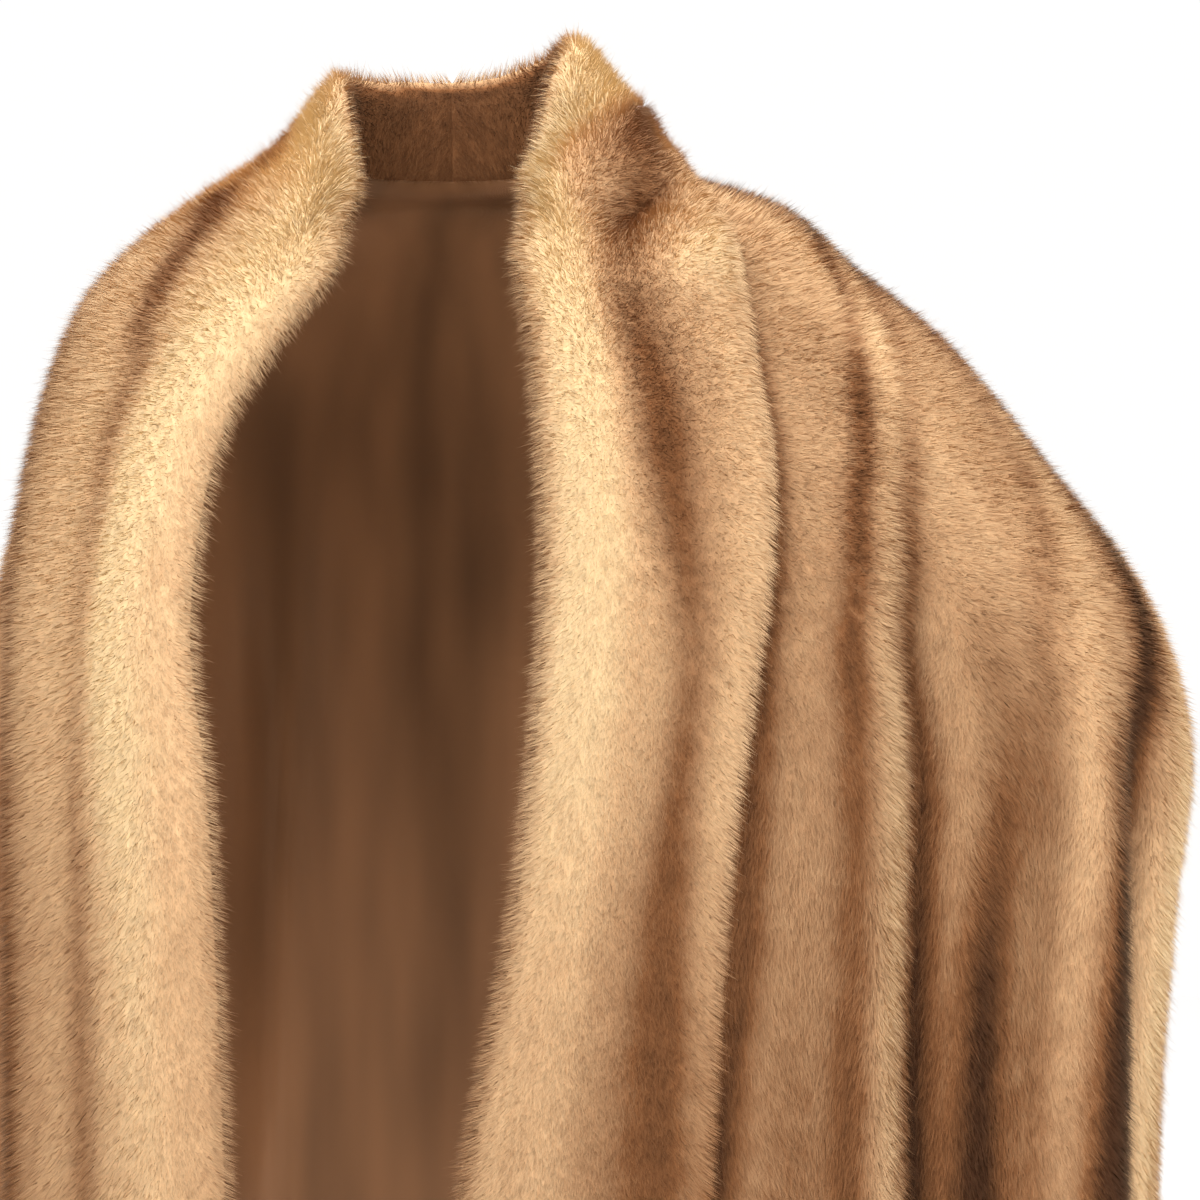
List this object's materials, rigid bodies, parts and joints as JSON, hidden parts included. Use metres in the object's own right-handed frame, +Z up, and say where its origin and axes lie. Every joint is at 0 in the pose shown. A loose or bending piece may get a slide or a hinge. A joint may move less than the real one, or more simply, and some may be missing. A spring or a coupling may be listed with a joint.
{
  "type": "fur evening stole with shawl collar",
  "caption": "Hollow worn evening stole of striped honey-brown fur, cut like a short cape, with an open front and a wide shawl collar that stands at the neck and rolls over.",
  "frame": {"origin": "at the nape, on the inner face of the back just under the neckline, where the wearer carries it", "axes": "+Z up, -Y the open front, +X the wearer's left"},
  "size_m": [0.7183, 0.3998, 0.7897],
  "materials": {
    "body_fur": "dense fur in upright stripes of brown and tan over a satin-lined back",
    "collar_fur": "dense honey fur with a brown stripe along each half of the collar"
  },
  "bodies": {
    "root": {"body_back": "body_fur", "body_left_front": "body_fur", "body_right_front": "body_fur", "collar_left": "collar_fur", "collar_right": "collar_fur"}
  },
  "joints": []
}
